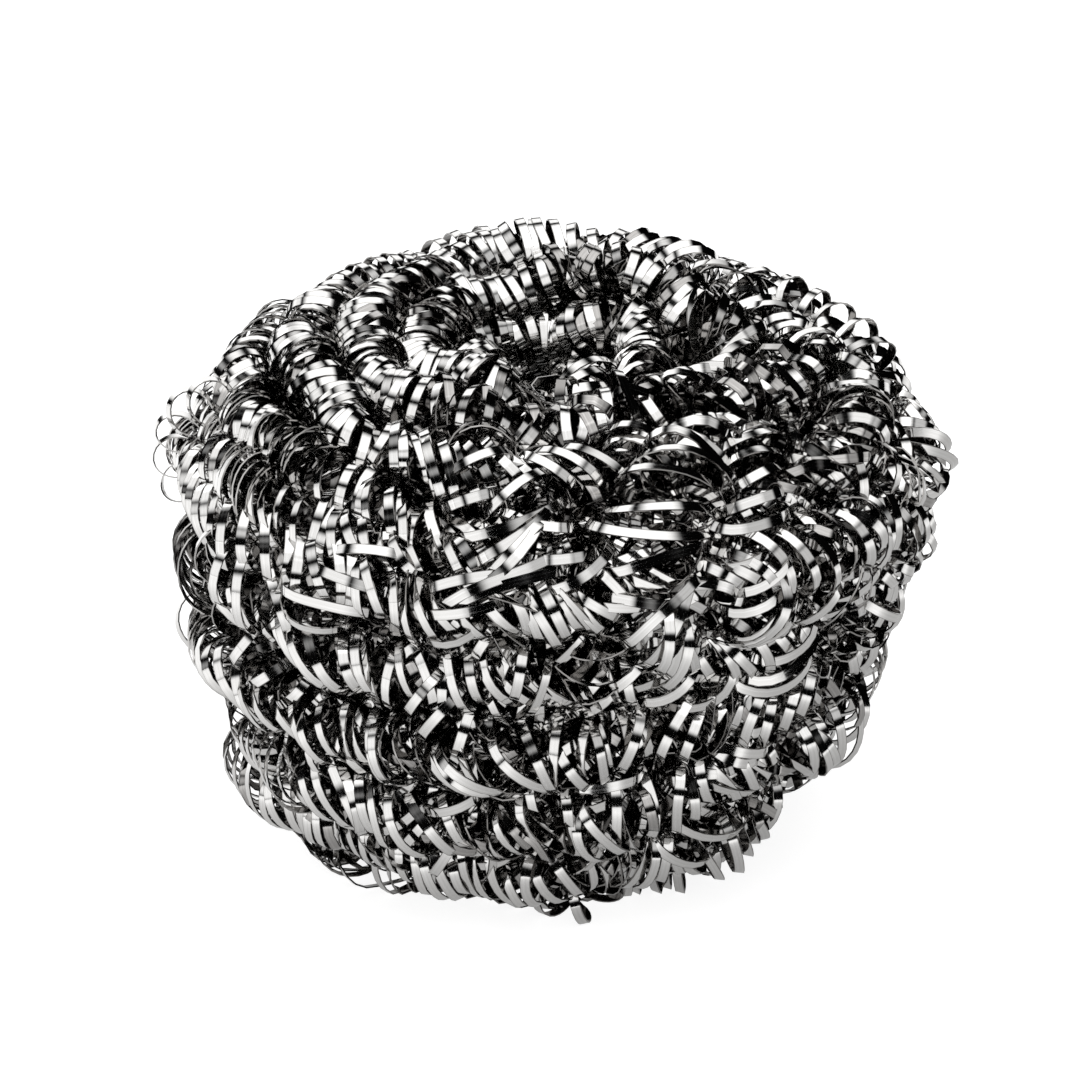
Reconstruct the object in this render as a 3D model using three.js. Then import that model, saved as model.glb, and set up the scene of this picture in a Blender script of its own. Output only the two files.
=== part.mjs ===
// A stainless steel spiral scourer, in millimetres, +Z up, standing on the middle of its underside.
// One flat steel ribbon is coiled into a springy rope. The rope starts under the pad, winds outwards
// over the underside, climbs the side pass by pass, rolls over the crown and ends down in a dimple.
// Neighbouring passes press into each other, so the wound rope is one body with a groove between passes.
import * as THREE from "three";

// The rope and the ribbon turns that ring it
const ROPE_DIAMETER = 9.2; // outside of the coiled ribbon, and the spacing of the passes
const CROWN_ROPE_DIAMETER = 7.6; // the same, where the rope is stretched over the crown
const TURN_PITCH = 3.6; // along the rope, drawn wider than the ribbon's own spacing of about 2
const TURN_WIDTH = 1.7; // of the ribbon's face, drawn wider to match
const GAP_DEPTH = 3.2; // between one turn and the next
const PRESSED_GAP_DEPTH = 0.9; // the same under the pad, where its weight presses the turns flat
const TURN_LEAN_LENGTH = 1.7; // how far along the rope a turn leans between its crown and a groove

// The wound pad: radii are outside the rope and heights at its centre, unless a comment says otherwise
const PAD_HEIGHT = 59; // at the top of the rope
const SHOULDER_RADIUS = 42.9;
const SHOULDER_HEIGHT = 46.2;
const BELLY_RADIUS = 42;
const BELLY_HEIGHT = 38.8;
const WAIST_RADIUS = 37;
const WAIST_HEIGHT = 17.2;
const CROWN_RADIUS = 27.5; // of the rope's centre, where it lies highest
const FOOT_RADIUS = 21.3; // of the rope's centre, where the pad stands on it
const FOOT_FLAT = 1.5; // how far the pad's weight presses that pass flat
const UNDERSIDE_HOLLOW = 4; // rise of the middle of the underside
const DIMPLE_RADIUS = 6.5; // clear of the rope
const DIMPLE_DEPTH = 28; // below the crown

// What hand winding does to it
const FOOT_SHIFT = new THREE.Vector2(-2.8, -2.4); // the foot's centre from the belly's
const DIMPLE_SHIFT = new THREE.Vector2(-4, 11); // the dimple's centre from the belly's
const TILT_HEIGHT = 2.2; // lift of the crown's one side, and drop of the other
const OVAL = 0.7; // more across than from front to back
const LOBE = 0.8; // height of three soft corners
const LOBE_TURN = -0.32; // where the first of them is, in radians
const SWAY = 0.7; // rise and fall of a pass on its way round

// The winding, in rounds of the pad
const FIRST_ROUND = 0.75; // rope diameters from the middle of the underside to the rope's first end
const FOOT_ROUNDS = 2; // before the rope leaves the floor
const SIDE_ROUNDS = 7; // before it reaches the crown

const ROPE_RADIUS = ROPE_DIAMETER / 2;
const CROWN_ROPE_RADIUS = CROWN_ROPE_DIAMETER / 2;
const FULL_TURN = 2 * Math.PI;

// The line that the rope's centre is laid on, as (radius, height), from the underside to the dimple
const profile = new THREE.SplineCurve([
  new THREE.Vector2(0, ROPE_RADIUS + UNDERSIDE_HOLLOW),
  new THREE.Vector2(FOOT_RADIUS, ROPE_RADIUS - FOOT_FLAT),
  new THREE.Vector2(WAIST_RADIUS - ROPE_RADIUS, WAIST_HEIGHT),
  new THREE.Vector2(BELLY_RADIUS - ROPE_RADIUS, BELLY_HEIGHT),
  new THREE.Vector2(SHOULDER_RADIUS - ROPE_RADIUS, SHOULDER_HEIGHT),
  new THREE.Vector2(CROWN_RADIUS, PAD_HEIGHT - CROWN_ROPE_RADIUS),
  new THREE.Vector2(DIMPLE_RADIUS + CROWN_ROPE_RADIUS, PAD_HEIGHT - CROWN_ROPE_DIAMETER),
  new THREE.Vector2(DIMPLE_RADIUS + CROWN_ROPE_RADIUS, PAD_HEIGHT - DIMPLE_DEPTH),
]);
const profileLength = profile.getLength();

// How far along the profile the rope has come after a number of rounds of the pad
function placeAfter(rounds) {
  const below = Math.min(rounds, SIDE_ROUNDS);
  return ROPE_DIAMETER * (FIRST_ROUND + below) + CROWN_ROPE_DIAMETER * (rounds - below);
}

// The radius of the rope there, on the ribbon's face and in the gap after it
function turnRadii(rounds) {
  const onCrown = THREE.MathUtils.smoothstep(rounds, SIDE_ROUNDS - 0.5, SIDE_ROUNDS + 0.5);
  const offFloor = THREE.MathUtils.smoothstep(rounds, FOOT_ROUNDS, FOOT_ROUNDS + 1);
  const face = THREE.MathUtils.lerp(ROPE_RADIUS, CROWN_ROPE_RADIUS, onCrown);
  return { face, gap: face - THREE.MathUtils.lerp(PRESSED_GAP_DEPTH, GAP_DEPTH, offFloor) };
}

// A point of the wound pad: place is a length along the profile, across is an offset along it,
// out is an offset towards the outside, and angle goes round the pad.
function padPoint(place, angle, across, out) {
  const share = THREE.MathUtils.clamp(place / profileLength, 0, 1);
  const centre = profile.getPointAt(share);
  const along = profile.getTangentAt(share);
  const radius = centre.x + along.x * across + along.y * out;
  const height = centre.y + along.y * across - along.x * out;
  return settled(radius, height, share, angle);
}

// Turns a point of the profile about the pad's axis, and lets the pad lean, tilt and sway.
function settled(radius, height, share, angle) {
  const rise = height / PAD_HEIGHT;
  const atFoot = 1 - THREE.MathUtils.smoothstep(share, 0.2, 0.6);
  const inDimple = THREE.MathUtils.smoothstep(share, 0.55, 1);
  const outOfRound = OVAL * Math.cos(2 * angle) + LOBE * Math.cos(3 * (angle - LOBE_TURN));
  const reach = radius + outOfRound * Math.min(1, radius / FOOT_RADIUS);
  const x = reach * Math.cos(angle);
  const y = reach * Math.sin(angle);
  const lift = rise * (TILT_HEIGHT * (x / BELLY_RADIUS) + SWAY * Math.sin(2 * angle + 7 * share));
  return new THREE.Vector3(
    x + FOOT_SHIFT.x * atFoot + DIMPLE_SHIFT.x * inDimple,
    y + FOOT_SHIFT.y * atFoot + DIMPLE_SHIFT.y * inDimple,
    Math.max(0, height + lift),
  );
}

// The turns along the rope: where each starts and how far it leans, in rounds of the pad, with the length
// of one round there. In tight rounds the turns stand straighter.
function ribbonTurns() {
  const turns = [];
  let start = 0;
  while (placeAfter(start) < profileLength) {
    const radius = profile.getPointAt(placeAfter(start) / profileLength).x;
    const oneRound = FULL_TURN * radius;
    const lean = (TURN_LEAN_LENGTH / oneRound) * Math.min(1, (radius / FOOT_RADIUS) ** 2);
    turns.push({ start, lean, oneRound, ...turnRadii(start) });
    start += TURN_PITCH / oneRound;
  }
  return turns;
}

// Four rails follow the rope: the groove before it, its near flank, its crown and its far flank.
const FLANK_AND_CROWN_ANGLES = [-Math.PI / 4, 0, Math.PI / 4];

function windRope() {
  const points = [];
  const turns = ribbonTurns();
  const gapCentre = (TURN_WIDTH + TURN_PITCH) / 2;

  // A rail's point, length millimetres after the start of a turn. The turns lean, so that a flank runs
  // behind or before the crown: straight is the place without the lean. The groove has no radius, and
  // lies half a round before the rope.
  function railPoint({ start, lean, oneRound }, around, length, radius) {
    const straight = start + length / oneRound;
    const rounds = straight + lean * Math.sin(around);
    const place = radius ? placeAfter(rounds) : placeAfter(rounds - 0.5);
    points.push(padPoint(place, FULL_TURN * rounds, radius * Math.sin(around), radius * Math.cos(around)));
    return { straight, rounds, index: points.length - 1 };
  }

  const groove = turns.map((turn) => railPoint(turn, -Math.PI / 2, gapCentre, 0));
  const ribbonRails = FLANK_AND_CROWN_ANGLES.map((around) =>
    turns.flatMap((turn) => [
      railPoint(turn, around, 0, turn.face),
      railPoint(turn, around, TURN_WIDTH, turn.face),
      railPoint(turn, around, gapCentre, turn.gap),
    ]),
  );
  const rails = [groove, ...ribbonRails];
  const faces = [...facesAlong(rails), ...facesToNextPass(rails), ...closedEnds(rails, points)];
  return { points, faces };
}

// Faces between two rails, stepping along the one whose next point comes first
function sewn(near, far, nearIsFirst) {
  const faces = [];
  let n = 0;
  let f = 0;
  while (n + 1 < near.length || f + 1 < far.length) {
    const farIsDone = f + 1 === far.length;
    if (n + 1 < near.length && (farIsDone || nearIsFirst(near[n + 1], far[f + 1]))) {
      faces.push([near[n].index, near[n + 1].index, far[f].index]);
      n += 1;
    } else {
      faces.push([near[n].index, far[f + 1].index, far[f].index]);
      f += 1;
    }
  }
  return faces;
}

function facesAlong(rails) {
  return rails.slice(1).flatMap((far, r) => sewn(rails[r], far, (n, f) => n.straight <= f.straight));
}

// Where the far flank of one pass meets the groove of the pass that is wound next to it
function meeting(rails) {
  const [groove, flank] = [rails[0], rails[rails.length - 1]];
  const firstGroove = groove.findIndex((g) => g.rounds - 1 >= flank[0].rounds);
  const lastFlank = flank.findLastIndex((f) => f.rounds <= groove[groove.length - 1].rounds - 1);
  return { groove, flank, firstGroove, lastFlank };
}

function facesToNextPass(rails) {
  const { groove, flank, firstGroove, lastFlank } = meeting(rails);
  const pass = flank.slice(0, lastFlank + 1);
  return sewn(pass, groove.slice(firstGroove), (f, g) => f.rounds < g.rounds - 1);
}

// Closes the underside round the rope's first end, and the dimple's floor round its last.
function closedEnds(rails, points) {
  const { groove, flank, firstGroove, lastFlank } = meeting(rails);
  const firstEnd = rails.map((rail) => rail[0].index);
  const lastEnd = rails.map((rail) => rail[rail.length - 1].index);
  const indexes = (line) => line.map((p) => p.index);
  const underside = [...firstEnd, ...indexes(groove.slice(1, firstGroove + 1)).reverse()];
  const dimple = [...indexes(flank.slice(lastFlank, -1)), ...lastEnd.reverse()];
  points.push(padPoint(0, 0, 0, 0));
  const undersideFan = fan(points.length - 1, underside);
  const floor = profile.getPoint(1).y;
  points.push(settled(0, floor, 1, 0));
  return [...undersideFan, ...fan(points.length - 1, dimple)];
}

// Triangles from a middle point to each edge of a ring
function fan(middle, ring) {
  return ring.map((corner, i) => [middle, corner, ring[(i + 1) % ring.length]]);
}

function ropeGeometry() {
  const { points, faces } = windRope();
  const geometry = new THREE.BufferGeometry().setFromPoints(points).setIndex(faces.flat());
  geometry.computeBoundingBox();
  const middle = geometry.boundingBox.getCenter(new THREE.Vector3());
  return geometry.translate(-middle.x, -middle.y, 0);
}

const brightSteel = new THREE.MeshStandardMaterial({ color: 0xc4c3c1, roughness: 0.2, metalness: 1 });
const coiledRibbon = new THREE.Mesh(ropeGeometry(), brightSteel);
coiledRibbon.name = "coiled_ribbon";

const scourer = new THREE.Group();
scourer.add(coiledRibbon);

export default scourer;
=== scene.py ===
"""A stainless steel spiral scourer: one flat ribbon, coiled into a springy rope and wound into a pad."""
import math

import bpy
import numpy as np
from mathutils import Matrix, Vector


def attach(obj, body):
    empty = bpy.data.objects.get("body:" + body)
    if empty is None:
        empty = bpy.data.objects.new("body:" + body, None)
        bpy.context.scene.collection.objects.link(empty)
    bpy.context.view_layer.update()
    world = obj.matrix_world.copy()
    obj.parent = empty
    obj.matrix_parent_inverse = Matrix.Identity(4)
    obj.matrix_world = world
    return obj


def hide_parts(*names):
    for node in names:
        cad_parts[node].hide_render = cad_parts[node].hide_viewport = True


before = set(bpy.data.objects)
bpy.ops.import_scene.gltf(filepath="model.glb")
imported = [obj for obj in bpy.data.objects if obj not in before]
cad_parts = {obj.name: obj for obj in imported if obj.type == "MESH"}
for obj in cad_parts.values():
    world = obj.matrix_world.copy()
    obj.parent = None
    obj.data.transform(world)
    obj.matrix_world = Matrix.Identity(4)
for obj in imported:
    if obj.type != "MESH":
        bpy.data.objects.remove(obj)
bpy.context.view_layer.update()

MM = 0.001  # metres in a millimetre
FULL_TURN = 2 * math.pi

# The winding of the pad, in millimetres, as the part's source has it
ROPE_DIAMETER = 9.2
CROWN_ROPE_DIAMETER = 7.6  # where the rope is stretched over the crown
PAD_HEIGHT = 59
SHOULDER_RADIUS, SHOULDER_HEIGHT = 42.9, 46.2
BELLY_RADIUS, BELLY_HEIGHT = 42.0, 38.8
WAIST_RADIUS, WAIST_HEIGHT = 37.0, 17.2
CROWN_RADIUS = 27.5
FOOT_RADIUS, FOOT_FLAT = 21.3, 1.5
UNDERSIDE_HOLLOW = 4
DIMPLE_RADIUS, DIMPLE_DEPTH = 6.5, 28
FOOT_SHIFT = np.array([-2.8, -2.4])
DIMPLE_SHIFT = np.array([-4.0, 11.0])
TILT, SWAY = 2.2, 0.7
OVAL, LOBE, LOBE_TURN = 0.7, 0.8, -0.32
SWAY_SPREAD = 7  # radians by which the sway turns from the underside to the dimple
AT_FOOT, IN_DIMPLE = (0.2, 0.6), (0.55, 1)  # shares of the profile over which the shifts fade
ROPE_RADIUS = ROPE_DIAMETER / 2
CROWN_ROPE_RADIUS = CROWN_ROPE_DIAMETER / 2
FIRST_ROW = 0.75  # rope diameters from the middle of the underside to the rope's first end

# Rounds of the pad that the rope has made when it leaves the foot, the lower side and the whole side
FOOT_ROUNDS, LOWER_ROUNDS, SIDE_ROUNDS = 3.0, 5.2, 7.0

# What the hand does to the winding, in millimetres and in rounds of the pad
SWINGS = [1.3, 2.15, 3.4, 5.3]  # of the rope to both sides, in one round
SIDEWAYS_SWING, OUTWARD_SWING = 0.5, 0.4
SIDEWAYS_SHIFT = -0.1  # rows, of the whole winding
RAISED_ROWS, RAISED_AT, RAISED_WIDTH = 0.5, 0.555, 0.105  # where the passes rise at the left

# The ribbon, in millimetres
RIBBON_WIDTH = 1.1
RIBBON_THICKNESS = 0.16  # drawn at twice the real one, so that its edge shows in the picture
SECTION_LENGTH = 2 * (RIBBON_WIDTH + RIBBON_THICKNESS)  # round the ribbon's section
UNSHADED_SHARE = 0.88  # of its width left without painted shade: the rest is the round edges that rolling leaves on flat wire, painted darker as shade
LOOP_RADIUS = 4.0  # of the ribbon's middle, in the rope
CROWN_LOOP_RADIUS = 3.5  # the same on the crown
CORE_LOOP_RADIUS = 2.7  # the same inside the rope
ROLL = 9  # degrees that the ribbon is rolled about its own length

# How the turns of ribbon differ: by a slow drift, by a jitter of their own, and over how many turns they
# drift. Lengths are in millimetres and angles in degrees, unless a comment says otherwise.
VARIETY = {
    "spacing": (0.25, 0.25, 4),  # as a power
    "radius": (0.05, 0.085, 5),  # as a share
    "squash": (0.05, 0.06, 4),  # as a share of the radius
    "squash_turn": (1.5, 0.5, 8),  # in radians
    "out": (0.4, 0.4, 6),
    "side": (0.4, 0.4, 6),
    "lean": (15, 11, 7),
    "nod": (13, 11, 6),
    "roll": (8, 13, 3),
}
SPRUNG_SHARE, SPRUNG_MORE = 0.06, 0.22  # of the turns, and by what share of the radius they spring out
WIDEST_TURN = 1.2  # the most that a turn's radius is multiplied by
MOST_LEAN_AT = math.radians(215)  # round the pad, where winding pulls the turns over most
WILDEST_AT = math.radians(-40)  # round the pad, where the turns lie furthest apart and most any way
WILD_SPACING, WILD_LOOSENESS = 0.05, 0.4  # the shares by which they do

# Where lengths of rope cross over the winding, in rounds of the pad, over what part of a round, and how far
# it dips under them in millimetres
CROSSED = [
    (7.775, 0.085, 4.0), (8.785, 0.075, 2.2), (9.8, 0.085, 3.0), (10.79, 0.09, 5.0), (11.82, 0.11, 4.0),
    (11.28, 0.12, 3.5), (12.28, 0.14, 5.5), (13.25, 0.16, 6.0),
]
# The same for the places where the pad was pressed in by hand, or where it bulges
PRESSED = [
    (7.26, 0.08, 1.9), (8.29, 0.07, 1.3), (9.29, 0.07, 1.3), (5.97, 0.07, 1.0), (6.97, 0.07, 1.5),
    (6.43, 0.06, -1.8), (7.43, 0.06, -2.0), (2.53, 0.07, -1.8),
]
PAD_CORE = np.array([0, 0, 20.0])  # what the crossing lengths face away from
# Lengths that cross over the winding, with the radius of their turns
CROSSING_ROPES = [
    ([(5, 7, 43), (4, 4, 49), (3, -2, 52.5), (2.3, -8, 53), (1, -14, 51), (0, -19, 46)], 4.2),
    ([(-3, -17, 46), (-2.5, -23, 51.5), (-3, -30, 52.5), (-4.5, -36, 48), (-7, -36.5, 42.5),
      (-9, -31, 38)], 5.1),
    ([(19, -15, 46), (16.5, -19, 51.5), (13.5, -24.5, 54), (10.5, -30.5, 52.5), (9, -35, 48),
      (9, -37, 43.5), (10, -36, 39.5), (11, -31, 37)], 4.9),
    ([(20, -12, 46), (20, -17, 51.5), (19.5, -23.5, 53), (19, -30, 50.5), (19.5, -33.5, 45),
      (20, -29, 39)], 4.7),
    ([(-14.5, 22, 45), (-13, 17, 49.5), (-10, 9.5, 50.5), (-6.5, 2, 50), (-1, -3, 46.5)], 4.0),
]
# Lengths that have sprung loose, with the radius, the spacing and the lean in degrees of their turns
LOOSE_ROPES = [
    ([(-37, 0, 51), (-40.3, 0, 49), (-41.8, 0, 46.5), (-42.2, 0, 43.8), (-41.5, 0, 41), (-38, 0, 39)],
     3.2, 2.8, -64),
    ([(-34, 0, 27), (-38, 0, 24), (-38.5, 0, 20.5), (-34, 0, 17)], 4.7, 4.0, -64),
    ([(24, 18, 51), (26, 16, 55), (29, 12, 55.8), (32, 7.5, 54.8), (34.5, 3, 52.5), (34, 0, 48)],
     3.9, 3.0, 5),
    ([(-19, 30, 48), (-17, 32, 51), (-12, 34.5, 52), (-7, 35.5, 52.5), (-5, 33, 48)], 4.3, 3.0, 5),
    ([(24, -24, 38), (29, -20, 40), (32, -15, 42), (32, -10, 42)], 5.4, 4.0, 5),
    ([(-3, -22, 5), (-1, -25, 3.5), (2, -26.5, 3.0), (4, -26, 3.2), (6, -22, 5)], 2.8, 3.0, 5),
]
# A length that fills the groove under the left shoulder, in rounds of the pad, millimetres and rows
GROOVE_FILL = {"first_turn": 6.43, "last_turn": 6.76, "depth": 0.6, "beside": 0.47}

# Inside the pad: the second layer of rope, and the fill from the underside up to the dimple's floor
INNER_FIRST_TURN, INNER_LAST_TURNS, INNER_DEPTH = 1.2, 2.2, 7.5  # the last turns are left out
HEART_LINE = [(-3, 1, 7.5), (-3.5, 3, 14), (-4, 5.5, 21), (-4, 8, 28)]
HEART_RADII = [7.5, 5.0, 2.5]

# Short lengths that lie any way: how many, where round the pad in degrees, in which rows, and how long and
# how high in millimetres
STRAYS = 72
STRAY_MIDDLE, STRAY_SPREAD, STRAY_LIMITS = -50, 50, (-145, 75)
STRAY_ROWS = (3.4, 8.0)
FRONT_ROWS, FRONT_WIDTH = 1.2, 0.5  # more rows in front, over an angle in radians
STRAY_HALF_LENGTH = (5, 9)
STRAY_HEIGHT, STRAY_TUCK = (-1.2, 0.5), 7  # over the rope's middle, and how deep the ends go
STRAY_LEAST_RADIUS = 8  # of the pad, for one that lies near the dimple

# The photograph's view
PHOTO_SIDE = 1080  # pixels
MM_PER_PIXEL = 0.1135  # at the middle of the pad
VIEW_ELEVATION = math.radians(26.3)
VIEW_DISTANCE = 450  # millimetres
PAD_MIDDLE = np.array([0, 0, 31.0])
PAD_MIDDLE_PIXEL = (556, 560)

# The lamps: place and size in metres, and how white the middle of each looks in a mirror
LAMPS = [
    ("overhead", (-0.02, -0.02, 0.62), (1.1, 1.0), 1.7),
    ("left", (-0.62, -0.26, 0.26), (0.9, 0.6), 1.3),
    ("right", (0.56, -0.28, 0.42), (0.7, 0.5), 0.75),
    ("rear", (-0.12, 0.70, 0.40), (1.2, 0.5), 1.5),
    ("rear_left", (-0.55, 0.45, 0.38), (0.8, 0.5), 1.3),
    ("front", (0.04, -0.54, 0.45), (0.9, 0.6), 1.3),
]
FLOOR_RADIUS = 6  # metres


def smooth_line(points, steps=60):
    """Points along a soft curve through the given ones, the way a bent strip would run."""
    held = np.array([points[0], *points, points[-1]], float)
    part = np.linspace(0, 1, steps, endpoint=False)[:, None]
    runs = []
    for before, start, end, after in zip(held, held[1:], held[2:], held[3:]):
        leave, arrive = (end - before) / 2, (after - start) / 2
        runs.append(
            (2 * start - 2 * end + leave + arrive) * part**3
            + (3 * end - 3 * start - 2 * leave - arrive) * part**2
            + leave * part
            + start
        )
    return np.vstack([*runs, held[-1:]])


def places_along(line):
    """How far each point of a line is along it."""
    return np.concatenate([[0], np.cumsum(np.linalg.norm(np.diff(line, axis=0), axis=1))])


def unit(vectors):
    return vectors / np.linalg.norm(vectors, axis=-1, keepdims=True)


# The line that the rope's middle is laid on, as radius and height, from the underside to the dimple
PROFILE = smooth_line(
    [
        (0, ROPE_RADIUS + UNDERSIDE_HOLLOW),
        (FOOT_RADIUS, ROPE_RADIUS - FOOT_FLAT),
        (WAIST_RADIUS - ROPE_RADIUS, WAIST_HEIGHT),
        (BELLY_RADIUS - ROPE_RADIUS, BELLY_HEIGHT),
        (SHOULDER_RADIUS - ROPE_RADIUS, SHOULDER_HEIGHT),
        (CROWN_RADIUS, PAD_HEIGHT - CROWN_ROPE_RADIUS),
        (DIMPLE_RADIUS + CROWN_ROPE_RADIUS, PAD_HEIGHT - CROWN_ROPE_DIAMETER),
        (DIMPLE_RADIUS + CROWN_ROPE_RADIUS, PAD_HEIGHT - DIMPLE_DEPTH),
    ]
)
PROFILE_PLACE = places_along(PROFILE)
PROFILE_LENGTH = PROFILE_PLACE[-1]
PROFILE_SLOPE = unit(np.gradient(PROFILE, PROFILE_PLACE, axis=0))
LAST_ROW = PROFILE_LENGTH / ROPE_DIAMETER


def columns_at(place, places, table):
    """Each column of a table, read between its rows."""
    return np.stack([np.interp(place, places, column) for column in table.T], axis=-1)


def smooth_step(value, low, high):
    part = np.clip((value - low) / (high - low), 0, 1)
    return part * part * (3 - 2 * part)


def pad_points(row, angle, out):
    """Places on the wound pad. Row counts rope diameters from the underside to the dimple, angle goes round
    the pad, and out is towards the outside. The pad leans, tilts and sways as the part's source lets it."""
    share = np.clip(row / LAST_ROW, 0, 1)
    centre = columns_at(share * PROFILE_LENGTH, PROFILE_PLACE, PROFILE)
    slope = columns_at(share * PROFILE_LENGTH, PROFILE_PLACE, PROFILE_SLOPE)
    radius = centre[:, 0] + slope[:, 1] * out
    height = centre[:, 1] - slope[:, 0] * out
    rise = height / PAD_HEIGHT
    out_of_round = OVAL * np.cos(2 * angle) + LOBE * np.cos(3 * (angle - LOBE_TURN))
    reach = radius + out_of_round * np.minimum(1, radius / FOOT_RADIUS)
    x, y = reach * np.cos(angle), reach * np.sin(angle)
    lift = rise * (TILT * (x / BELLY_RADIUS) + SWAY * np.sin(2 * angle + SWAY_SPREAD * share))
    at_foot = 1 - smooth_step(share, *AT_FOOT)
    in_dimple = smooth_step(share, *IN_DIMPLE)
    return np.stack(
        [
            x + FOOT_SHIFT[0] * at_foot + DIMPLE_SHIFT[0] * in_dimple,
            y + FOOT_SHIFT[1] * at_foot + DIMPLE_SHIFT[1] * in_dimple,
            height + lift,
        ],
        axis=-1,
    )


def row_at(turn):
    """The row that the winding has reached, from the rounds of the pad that it has made."""
    on_crown = np.maximum(turn - SIDE_ROUNDS, 0)
    return FIRST_ROW + np.minimum(turn, SIDE_ROUNDS) + on_crown * CROWN_ROPE_DIAMETER / ROPE_DIAMETER


ROUNDS = SIDE_ROUNDS + (LAST_ROW - FIRST_ROW - SIDE_ROUNDS) * ROPE_DIAMETER / CROWN_ROPE_DIAMETER


def centring(samples=4000):
    """The sideways move that puts the winding in the middle of its frame."""
    turn = np.linspace(0, SIDE_ROUNDS, samples)
    outside = pad_points(row_at(turn), FULL_TURN * turn, ROPE_RADIUS)
    middle = (outside.min(axis=0) + outside.max(axis=0)) / 2
    return np.array([middle[0], middle[1], 0])


PAD_SHIFT = centring()


class Route:
    """The line that a length of rope follows, with its outward and crosswise directions."""

    def __init__(self, centre, outward):
        self.centre = centre
        self.place = places_along(centre)
        self.along = unit(np.gradient(centre, self.place, axis=0))
        self.outward = unit(outward - self.along * (outward * self.along).sum(axis=1, keepdims=True))
        self.across = np.cross(self.along, self.outward)
        self.length = self.place[-1]


def pad_route(rows, angles, out):
    centre = pad_points(rows, angles, out) - PAD_SHIFT
    return Route(centre, pad_points(rows, angles, out + 1) - PAD_SHIFT - centre)


def meander(turn, seed, size):
    """A slow swing to both sides along the winding, never twice the same round the pad."""
    rng = np.random.default_rng(seed)
    starts = rng.uniform(0, FULL_TURN, len(SWINGS))
    return size * sum(np.sin(FULL_TURN * swing * turn + start) for swing, start in zip(SWINGS, starts))


def sunk(turn):
    """How far the winding dips, in millimetres, where other lengths cross over it or a hand pressed it."""
    return sum(
        depth * np.exp(-(((turn - middle) / width) ** 4)) for middle, width, depth in CROSSED + PRESSED
    )


def wound_route(first_turn, last_turn, depth=0.0, beside=0.0, samples=400):
    """A stretch of the winding, counted in rounds of the pad, at a depth below the outer rope or some rows
    beside it. Samples are for one round."""
    turn = np.linspace(first_turn, last_turn, int(samples * (last_turn - first_turn)) + 2)
    from_raised = (turn % 1) - RAISED_AT
    raised = RAISED_ROWS * np.exp(-((from_raised / RAISED_WIDTH) ** 2))
    sideways = meander(turn, 1, SIDEWAYS_SWING) / ROPE_DIAMETER + SIDEWAYS_SHIFT + raised
    out = meander(turn, 2, OUTWARD_SWING) - sunk(turn) - depth
    return pad_route(row_at(turn) + sideways + beside, FULL_TURN * turn, out)


def laid_route(places):
    """A length of rope laid on the winding, through places in millimetres."""
    centre = smooth_line(places)
    return Route(centre, centre - PAD_CORE)


def stray_route(rng, samples=17):
    """A short length of rope that lies any way over the side or the crown, with its ends tucked in."""
    angle = math.radians(np.clip(rng.normal(STRAY_MIDDLE, STRAY_SPREAD), *STRAY_LIMITS))
    heading = rng.uniform(0, math.pi)
    in_front = math.exp(-(((angle + math.pi / 2) / FRONT_WIDTH) ** 2))
    row = rng.uniform(STRAY_ROWS[0], STRAY_ROWS[1] + FRONT_ROWS * in_front)
    part = np.linspace(-1, 1, samples)
    step = part * rng.uniform(*STRAY_HALF_LENGTH)
    pad_radius = np.interp(row / LAST_ROW * PROFILE_LENGTH, PROFILE_PLACE, PROFILE[:, 0])
    rows = row + step * math.cos(heading) / ROPE_DIAMETER
    angles = angle + step * math.sin(heading) / max(STRAY_LEAST_RADIUS, pad_radius)
    out = rng.uniform(*STRAY_HEIGHT) - STRAY_TUCK * part**4
    return pad_route(rows, angles, out)


def wandering(rng, count, drift, jitter, span):
    """A value for each turn of ribbon: a slow drift over a span of turns, and a jitter of its own."""
    shape = np.hanning(2 * span + 1)
    shape /= math.sqrt((shape**2).sum())
    slow = np.convolve(rng.normal(size=count + 2 * span), shape, mode="same")[span:-span]
    return drift * slow + jitter * rng.normal(size=count)


def eased(values, turn):
    """The values of the turns, read between turns without a kink."""
    low = np.minimum(np.floor(turn).astype(int), len(values) - 2)
    part = smooth_step(turn, low, low + 1)
    return values[low] * (1 - part) + values[low + 1] * part


def deselect_all():
    bpy.ops.object.select_all(action="DESELECT")


def screwed_strip(name, turns, steps):
    """A ribbon's cross-section, screwed into a straight coil with closed ends. Its size is set later."""
    deselect_all()
    bpy.ops.mesh.primitive_plane_add(size=1, location=(0, 0, 0))
    strip = bpy.context.object
    strip.name = strip.data.name = name
    screw = strip.modifiers.new("turns", "SCREW")
    screw.axis = "X"
    screw.angle = FULL_TURN
    screw.screw_offset = 2
    screw.iterations = turns
    screw.steps = screw.render_steps = steps
    bpy.ops.object.modifier_apply(modifier=screw.name)
    bpy.ops.object.mode_set(mode="EDIT")
    bpy.ops.mesh.select_all(action="SELECT")
    bpy.ops.mesh.fill_holes(sides=4)
    bpy.ops.object.mode_set(mode="OBJECT")
    return strip


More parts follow.
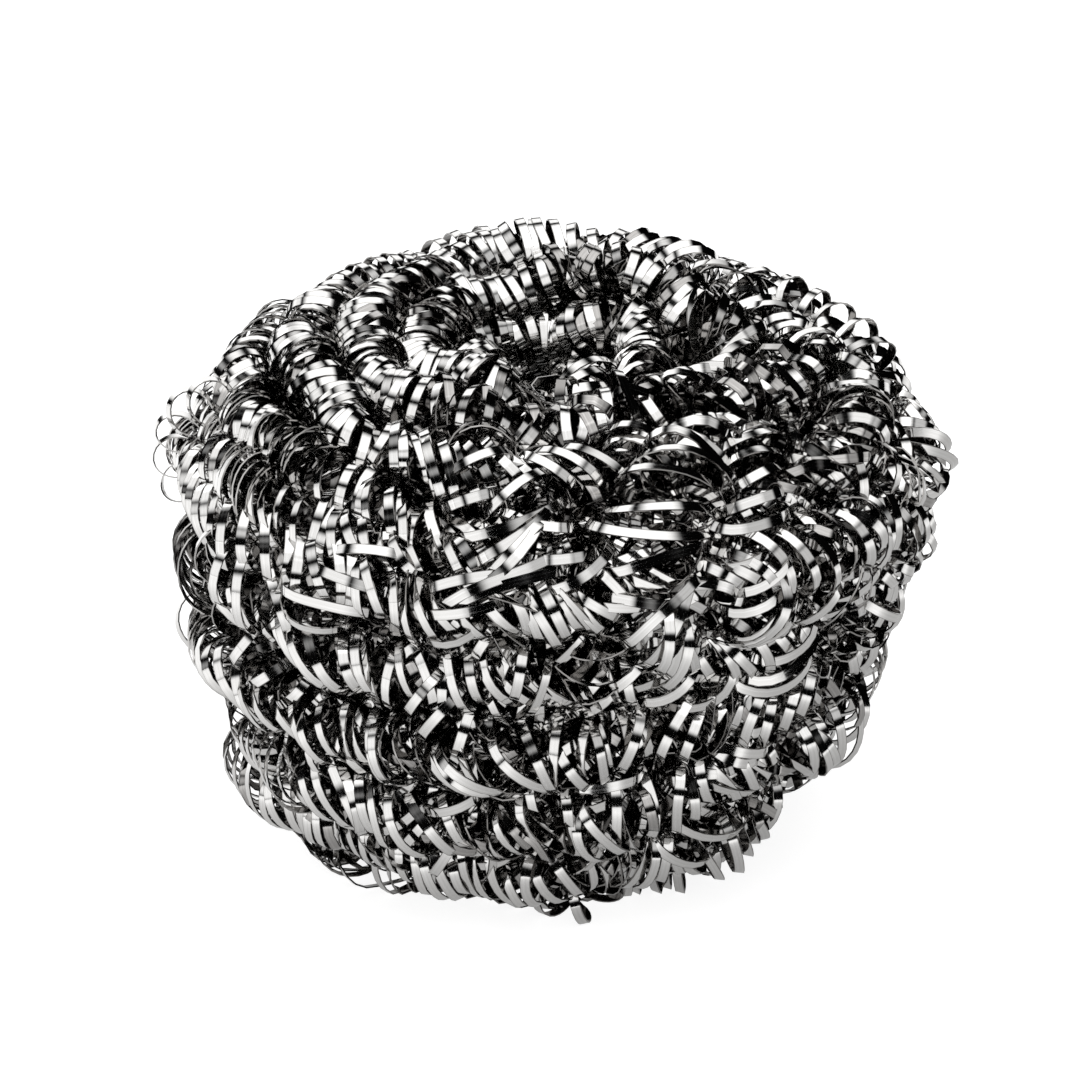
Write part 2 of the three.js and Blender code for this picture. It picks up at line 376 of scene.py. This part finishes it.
def turned_points(route, starts, steps, loop):
    """The middle line of a coil along a route, which way its ribbon faces and how it is rolled, from where
    each turn starts."""
    turns = len(starts) - 1
    turn = np.arange(turns * steps + 1) / steps
    place = np.interp(turn, np.arange(turns + 1), starts)
    centre = columns_at(place, route.place, route.centre)
    along, outward, across = (
        unit(columns_at(place, route.place, way)) for way in (route.along, route.outward, route.across)
    )
    value = {key: eased(values, turn)[:, None] for key, values in loop.items()}
    swing = (FULL_TURN * turn + math.pi)[:, None]
    out_axis = outward * np.cos(value["nod"]) + along * np.sin(value["nod"])
    cross_axis = across * np.cos(value["lean"]) + along * np.sin(value["lean"])
    facing = unit(np.cos(swing) * out_axis + np.sin(swing) * cross_axis)
    reach = value["radius"] * (1 + value["squash"] * np.cos(2 * swing + value["squash_turn"]))
    middle = centre + value["out"] * outward + value["side"] * across + reach * facing
    return middle, facing, value["roll"]


def ribbon_corners(middle, facing, roll):
    """The four corners of the ribbon's section at each point of its middle line, none under the floor."""
    forward = unit(np.gradient(middle, axis=0))
    face = unit(facing - forward * (facing * forward).sum(axis=1, keepdims=True))
    width = np.cross(forward, face)
    face, width = face * np.cos(roll) + width * np.sin(roll), width * np.cos(roll) - face * np.sin(roll)
    half_width, half_thickness = RIBBON_WIDTH / 2, RIBBON_THICKNESS / 2
    reach_down = half_width * np.abs(width[:, 2]) + half_thickness * np.abs(face[:, 2])
    middle[:, 2] = np.maximum(middle[:, 2], reach_down)
    corners = [
        middle + side * half_width * width + depth * half_thickness * face
        for depth, side in ((-1, -1), (-1, 1), (1, -1), (1, 1))
    ]
    return np.stack(corners, axis=1)


def round_pad(route, places):
    """The angle round the pad at places along a route."""
    centre = columns_at(places, route.place, route.centre)
    return np.arctan2(centre[:, 1], centre[:, 0])


def coil(
    name, route, pitch, seed, radius=LOOP_RADIUS, lean=(10, 20), nod=(0, 20), looseness=1.0, steps=24
):
    """A length of ribbon coiled along a route, with every turn a little different from the last.
    Turns lean by the first number of degrees, and by more or less round the pad. They nod forwards by the
    first number too, and by the second towards the front, as they were pressed when the pad was wound."""
    rng = np.random.default_rng(seed)
    turns = max(2, round(route.length / pitch))
    count = turns + 1

    def varied(key):
        return wandering(rng, count, *VARIETY[key])

    wild = np.cos(round_pad(route, np.linspace(0, route.length, turns)) - WILDEST_AT)
    wander = wandering(rng, turns, *VARIETY["spacing"])
    spacing = np.concatenate([[0], (1 + WILD_SPACING * wild) * np.exp(looseness * wander)])
    starts = np.cumsum(spacing) * route.length / spacing.sum()
    angle = round_pad(route, starts)
    loose = looseness * (1 + WILD_LOOSENESS * np.cos(angle - WILDEST_AT))
    leaning = lean[0] + lean[1] * np.cos(angle - MOST_LEAN_AT)
    nodding = nod[0] - nod[1] * np.interp(starts, route.place, route.along[:, 1])
    sprung = 1 + SPRUNG_MORE * rng.random(count) * (rng.random(count) < SPRUNG_SHARE)
    loop = {
        "radius": radius * np.minimum(WIDEST_TURN, sprung * (1 + loose * varied("radius"))),
        "squash": loose * varied("squash"),
        "squash_turn": loose * varied("squash_turn"),
        "out": loose * varied("out"),
        "side": loose * varied("side"),
        "lean": np.radians(leaning + loose * varied("lean")),
        "nod": np.radians(nodding + loose * varied("nod")),
        "roll": np.radians(ROLL + loose * varied("roll")),
    }
    middle, facing, roll = turned_points(route, starts, steps, loop)
    corners = ribbon_corners(middle, facing, roll)
    strip = screwed_strip(name, turns, steps)
    strip.data.vertices.foreach_set("co", (corners * MM).astype(np.float32).ravel())
    strip.data.update()
    lay_ribbon_map(strip.data, steps)
    finish_mesh(strip)
    return strip


def joined(name, strips):
    deselect_all()
    for strip in strips:
        strip.select_set(True)
    bpy.context.view_layer.objects.active = strips[0]
    bpy.ops.object.join()
    strips[0].name = strips[0].data.name = name
    return strips[0]


def lay_ribbon_map(mesh, steps):
    """Maps each turn of the ribbon to the same square: along the turn, and round the ribbon's section."""
    # Each corner's place round the section, and the sides as first corner, second corner and length
    corner_place = np.array(
        [0, RIBBON_WIDTH, 2 * RIBBON_WIDTH + RIBBON_THICKNESS, RIBBON_WIDTH + RIBBON_THICKNESS]
    )
    sides = [(0, 1, RIBBON_WIDTH), (1, 3, RIBBON_THICKNESS), (3, 2, RIBBON_WIDTH), (2, 0, RIBBON_THICKNESS)]
    vertices = np.empty(len(mesh.loops), np.int32)
    mesh.loops.foreach_get("vertex_index", vertices)
    faces = vertices.reshape(-1, 4)
    step, corner = faces // 4, faces % 4
    low = step.min(axis=1, keepdims=True)
    along = (low % steps + step - low) / steps
    around = corner_place[corner]
    capped = (step == low).all(axis=1)
    for first, second, length in sides:
        on_side = np.isin(corner, (first, second)).all(axis=1) & ~capped
        around[on_side] = corner_place[first] + length * (corner[on_side] == second)
    layer = mesh.uv_layers[0]
    layer.name = "OFBake"
    square = np.stack([along, around / SECTION_LENGTH], axis=-1)
    layer.data.foreach_set("uv", square.astype(np.float32).ravel())


def finish_mesh(strip):
    """Turns the faces outwards, and rounds the shading along the ribbon but not over its edges."""
    deselect_all()
    strip.select_set(True)
    bpy.context.view_layer.objects.active = strip
    bpy.ops.object.mode_set(mode="EDIT")
    bpy.ops.mesh.select_all(action="SELECT")
    bpy.ops.mesh.normals_make_consistent(inside=False)
    bpy.ops.object.mode_set(mode="OBJECT")
    bpy.ops.object.shade_smooth_by_angle(angle=math.radians(45))


def linear(hex_colour):
    """An sRGB colour such as "#C4C2BE" as linear numbers, with alpha."""
    shares = [int(hex_colour[i:i + 2], 16) / 255 for i in (1, 3, 5)]
    return [s / 12.92 if s <= 0.04045 else ((s + 0.055) / 1.055) ** 2.4 for s in shares] + [1]


def add_node(tree, kind, settings=(), values=(), links=()):
    """Adds a node, sets its properties and its sockets' values, and links sockets to others' outputs."""
    node = tree.nodes.new(kind)
    for key, setting in dict(settings).items():
        setattr(node, key, setting)
    for key, value in dict(values).items():
        node.inputs[key].default_value = value
    for key, output in dict(links).items():
        tree.links.new(output, node.inputs[key])
    return node


def new_material(name):
    material = bpy.data.materials.new(name)
    material.use_nodes = True
    material.node_tree.nodes.clear()
    return material, material.node_tree


def rolled_steel(name, dull, bright, painted_shade_colour):
    """Stainless flat wire, rolled bright: a near mirror with faint lines drawn along it by the rolls.
    Painted shade darkens the edges, the inner face and the back of each turn, where the ribbon lies in
    shade inside the rope. The painted shade is lighter on the side at -X, a painted light on that side."""
    material, tree = new_material(name)
    turn_length = FULL_TURN * LOOP_RADIUS
    line_spacing, line_length = 0.22, 9.0  # millimetres, coarser than the real lines so that they show
    faint, strong = 0.3, 0.7  # of the lines
    glossy, duller = 0.06, 0.12  # roughness on the faint and on the strong lines
    outer_face = (1.5 * RIBBON_WIDTH + RIBBON_THICKNESS) / SECTION_LENGTH  # its middle on the ribbon's map
    half_unshaded = UNSHADED_SHARE / 2 * RIBBON_WIDTH / SECTION_LENGTH
    turn_front, half_front = 0.5, 0.33  # the outside of a turn, on the map
    held, full_shade_from = -42 * MM, -24 * MM  # along X, where the painted shade is lightest and from where it is full: a painted light on the -X side
    shade_kept_at_left = 0.7  # of the painted shade, kept on the -X side
    place = add_node(tree, "ShaderNodeTexCoord")
    stretched = add_node(
        tree,
        "ShaderNodeMapping",
        values={"Scale": (turn_length / line_length, SECTION_LENGTH / line_spacing, 1)},
        links={"Vector": place.outputs["UV"]},
    )
    lines = add_node(
        tree,
        "ShaderNodeTexNoise",
        settings={"noise_dimensions": "2D"},
        values={"Scale": 1.0, "Detail": 2.0, "Roughness": 0.6},
        links={"Vector": stretched.outputs["Vector"]},
    )
    tone = add_node(tree, "ShaderNodeValToRGB", links={"Fac": lines.outputs["Fac"]})
    for stop, position, shade in zip(tone.color_ramp.elements, (faint, strong), (dull, bright)):
        stop.position = position
        stop.color = linear(shade)
    spot = add_node(tree, "ShaderNodeSeparateXYZ", links={"Vector": place.outputs["UV"]})
    on_face = add_node(
        tree,
        "ShaderNodeMath",
        settings={"operation": "COMPARE"},
        values={1: outer_face, 2: half_unshaded},
        links={0: spot.outputs["Y"]},
    )
    on_front = add_node(
        tree,
        "ShaderNodeMath",
        settings={"operation": "COMPARE"},
        values={1: turn_front, 2: half_front},
        links={0: spot.outputs["X"]},
    )
    less_shaded = add_node(
        tree,
        "ShaderNodeMath",
        settings={"operation": "MULTIPLY"},
        links={0: on_face.outputs["Value"], 1: on_front.outputs["Value"]},
    )
    # Painted shade: 1 on the edges, the inner face and the back of each turn, 0 on the middle of the outer
    # face
    painted_shade_mask = add_node(
        tree,
        "ShaderNodeMath",
        settings={"operation": "SUBTRACT"},
        values={0: 1.0},
        links={1: less_shaded.outputs["Value"]},
    )
    # Painted light: the painted shade grows lighter towards -X
    across_pad = add_node(tree, "ShaderNodeSeparateXYZ", links={"Vector": place.outputs["Object"]})
    shade_lightened_at_left = add_node(
        tree,
        "ShaderNodeMapRange",
        values={"From Min": held, "From Max": full_shade_from, "To Min": shade_kept_at_left, "To Max": 1.0},
        links={"Value": across_pad.outputs["X"]},
    )
    painted_shade_amount = add_node(
        tree,
        "ShaderNodeMath",
        settings={"operation": "MULTIPLY"},
        links={0: painted_shade_mask.outputs["Value"], 1: shade_lightened_at_left.outputs["Result"]},
    )
    # Mixes the painted shade colour into the steel
    colour = add_node(
        tree,
        "ShaderNodeMix",
        settings={"data_type": "RGBA"},
        values={"B": linear(painted_shade_colour)},
        links={"Factor": painted_shade_amount.outputs["Value"], "A": tone.outputs["Color"]},
    )
    gloss = add_node(
        tree,
        "ShaderNodeMapRange",
        values={"From Min": faint, "From Max": strong, "To Min": glossy, "To Max": duller},
        links={"Value": lines.outputs["Fac"]},
    )
    shader = add_node(
        tree,
        "ShaderNodeBsdfPrincipled",
        values={"Metallic": 1.0},
        links={"Base Color": colour.outputs["Result"], "Roughness": gloss.outputs["Result"]},
    )
    add_node(tree, "ShaderNodeOutputMaterial", links={"Surface": shader.outputs["BSDF"]})
    return material


def pale_floor():
    """A smooth white sweep. Near the pad it takes the pad's shadow on its paper, and a painted shadow dims
    its glow there;
    further off it is plain white. What metal reflects of it has a darker, wider painted shadow, centred
    right of the pad.
    """
    material, tree = new_material("white_sweep")
    path = add_node(tree, "ShaderNodeLightPath")
    mirrored = add_node(
        tree,
        "ShaderNodeMath",
        settings={"operation": "MAXIMUM"},
        links={0: path.outputs["Is Glossy Ray"], 1: path.outputs["Is Transmission Ray"]},
    )
    place = add_node(tree, "ShaderNodeTexCoord")
    strengths = []
    # How white the floor's glow is where the pad stands, a painted shadow, and from where to where it grows
    # plain white, in metres
    for sight, middle, painted_shadow_to, white_from, nearest in (
        (path.outputs["Is Camera Ray"], (0, 0, 0), 0.03, 0.09, 0.88),
        (mirrored.outputs["Value"], (0.06, 0.01, 0), 0.06, 0.2, 0.3),
    ):
        distance = add_node(
            tree,
            "ShaderNodeVectorMath",
            settings={"operation": "DISTANCE"},
            values={1: middle},
            links={0: place.outputs["Object"]},
        )
        glow = add_node(
            tree,
            "ShaderNodeMapRange",
            settings={"interpolation_type": "SMOOTHSTEP"},
            values={"From Min": painted_shadow_to, "From Max": white_from, "To Min": nearest, "To Max": 1.0},
            links={"Value": distance.outputs["Value"]},
        )
        strengths.append(
            add_node(
                tree,
                "ShaderNodeMath",
                settings={"operation": "MULTIPLY"},
                links={0: glow.outputs["Result"], 1: sight},
            )
        )
    strength = add_node(
        tree,
        "ShaderNodeMath",
        settings={"operation": "ADD"},
        links={0: strengths[0].outputs["Value"], 1: strengths[1].outputs["Value"]},
    )
    paper = add_node(tree, "ShaderNodeBsdfDiffuse", values={"Color": linear("#A8A8A8")})
    light = add_node(tree, "ShaderNodeEmission", links={"Strength": strength.outputs["Value"]})
    both = add_node(
        tree,
        "ShaderNodeAddShader",
        links={0: paper.outputs["BSDF"], 1: light.outputs["Emission"]},
    )
    add_node(tree, "ShaderNodeOutputMaterial", links={"Surface": both.outputs["Shader"]})
    return material


def floor():
    deselect_all()
    bpy.ops.mesh.primitive_circle_add(
        vertices=96, radius=FLOOR_RADIUS, fill_type="NGON", location=(0, 0, 0)
    )
    sweep = bpy.context.object
    sweep.name = "sweep"
    sweep.data.materials.append(pale_floor())


def softbox(name, place, size, brightness):
    """A lamp that faces the pad and fades at its edges. Brightness is how white it looks in a mirror."""
    lamp = bpy.data.lights.new(name, "AREA")
    lamp.shape = "RECTANGLE"
    lamp.size, lamp.size_y = size
    lamp.energy = brightness * math.pi * size[0] * size[1]
    lamp.use_nodes = True
    tree = lamp.node_tree
    even_to, dark_from = 0.28, 0.54  # from the lamp's middle, as shares of its sides
    spot = add_node(tree, "ShaderNodeNewGeometry")
    from_middle = add_node(
        tree,
        "ShaderNodeVectorMath",
        settings={"operation": "DISTANCE"},
        values={1: (0.5, 0.5, 0)},
        links={0: spot.outputs["Parametric"]},
    )
    fade = add_node(
        tree,
        "ShaderNodeMapRange",
        settings={"interpolation_type": "SMOOTHSTEP"},
        values={"From Min": even_to, "From Max": dark_from, "To Min": 1.0, "To Max": 0.0},
        links={"Value": from_middle.outputs["Value"]},
    )
    tree.links.new(fade.outputs["Result"], tree.nodes["Emission"].inputs["Strength"])
    holder = bpy.data.objects.new(name, lamp)
    bpy.context.scene.collection.objects.link(holder)
    holder.location = place
    aim(holder, PAD_MIDDLE * MM)


def aim(holder, target):
    """Turns a lamp or the camera towards a place."""
    towards = Vector(target) - holder.location
    holder.rotation_euler = towards.to_track_quat("-Z", "Y").to_euler()


def studio():
    world = bpy.data.worlds.new("dim_room")
    world.use_nodes = True
    world.node_tree.nodes["Background"].inputs["Color"].default_value = linear("#040404")
    bpy.context.scene.world = world
    for lamp in LAMPS:
        softbox(*lamp)
    bpy.context.scene.view_settings.view_transform = "Standard"


def camera():
    """The photograph's camera, with the pad's middle at the same pixel."""
    right = np.array([1, 0, 0])
    back = np.array([0, -math.cos(VIEW_ELEVATION), math.sin(VIEW_ELEVATION)])
    up = np.cross(back, right)
    offset = np.array(PAD_MIDDLE_PIXEL) - PHOTO_SIDE / 2
    target = PAD_MIDDLE - (offset[0] * right - offset[1] * up) * MM_PER_PIXEL
    lens = bpy.data.cameras.new("photo_view")
    lens.sensor_width = 36
    lens.lens = lens.sensor_width * VIEW_DISTANCE / (PHOTO_SIDE * MM_PER_PIXEL)
    lens.clip_start = 0.01
    holder = bpy.data.objects.new("photo_view", lens)
    bpy.context.scene.collection.objects.link(holder)
    holder.location = (target + back * VIEW_DISTANCE) * MM
    aim(holder, target * MM)
    bpy.context.scene.camera = holder


def crossing_curls():
    strips = [
        coil(
            "crossing", laid_route(places), pitch=1.8, seed=21 + i, radius=radius, lean=(8, 0), nod=(0, 28),
            looseness=1.2,
        )
        for i, (places, radius) in enumerate(CROSSING_ROPES)
    ]
    strips.append(coil("crossing", wound_route(**GROOVE_FILL), pitch=1.7, seed=25, nod=(-3, 8)))
    return joined("crossing_curls", strips)


def loose_loops():
    strips = [
        coil(
            "loose", laid_route(places), pitch, seed=31 + i, radius=radius, lean=(lean, 0), nod=(0, 0),
            looseness=0.6,
        )
        for i, (places, radius, pitch, lean) in enumerate(LOOSE_ROPES)
    ]
    return joined("loose_loops", strips)


def stray_curls():
    rng = np.random.default_rng(41)
    strips = [
        coil("stray", stray_route(rng), pitch=2.4, seed=100 + i, lean=(10, 0), looseness=1.1)
        for i in range(STRAYS)
    ]
    return joined("stray_curls", strips)


def inner_curls():
    layer = wound_route(INNER_FIRST_TURN, ROUNDS - INNER_LAST_TURNS, depth=INNER_DEPTH)
    heart = laid_route(HEART_LINE)
    strips = [
        coil("inner", layer, pitch=2.8, seed=15, steps=12, lean=(-15, 0)),
        *(
            coil("heart", heart, pitch=1.5, seed=51 + i, radius=radius)
            for i, radius in enumerate(HEART_RADII)
        ),
    ]
    return joined("inner_curls", strips)


def winding():
    """The pad's rope, in four lengths from the underside to the dimple, and smaller turns inside it."""
    return [
        coil("underside_curls", wound_route(0, FOOT_ROUNDS), pitch=1.8, seed=11, nod=(0, 8)),
        coil("lower_curls", wound_route(FOOT_ROUNDS, LOWER_ROUNDS), pitch=1.85, seed=12, nod=(0, 8)),
        coil("upper_curls", wound_route(LOWER_ROUNDS, SIDE_ROUNDS), pitch=1.9, seed=13, nod=(0, 15)),
        coil(
            "crown_curls", wound_route(SIDE_ROUNDS, ROUNDS), pitch=1.45, seed=14, radius=CROWN_LOOP_RADIUS,
            lean=(6, 10), nod=(-3, 20), looseness=1.2,
        ),
        coil(
            "core_curls", wound_route(0, ROUNDS), pitch=2.6, seed=16, radius=CORE_LOOP_RADIUS,
            looseness=1.8, steps=12,
        ),
    ]


def pad():
    """Every length of the ribbon: what crosses the winding, lies loose or is inside, and the winding."""
    lengths = [crossing_curls(), loose_loops(), stray_curls(), inner_curls(), *winding()]
    # The second copy is the same steel painted darker, as painted shade on the turns inside the rope; each
    # copy's third colour is its painted shade
    less_shaded = rolled_steel("bright_rolled_steel", dull="#D0CFCD", bright="#DEDDDC", painted_shade_colour="#8A8886")
    shaded_copy = rolled_steel("shaded_rolled_steel", dull="#9A9896", bright="#B0AEAC", painted_shade_colour="#5A5856")
    for length in lengths:
        length.data.materials.clear()
        length.data.materials.append(shaded_copy if length.name in ("core_curls", "inner_curls") else less_shaded)
        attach(length, "root")
        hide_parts("coiled_ribbon")


camera()
studio()
floor()
pad()
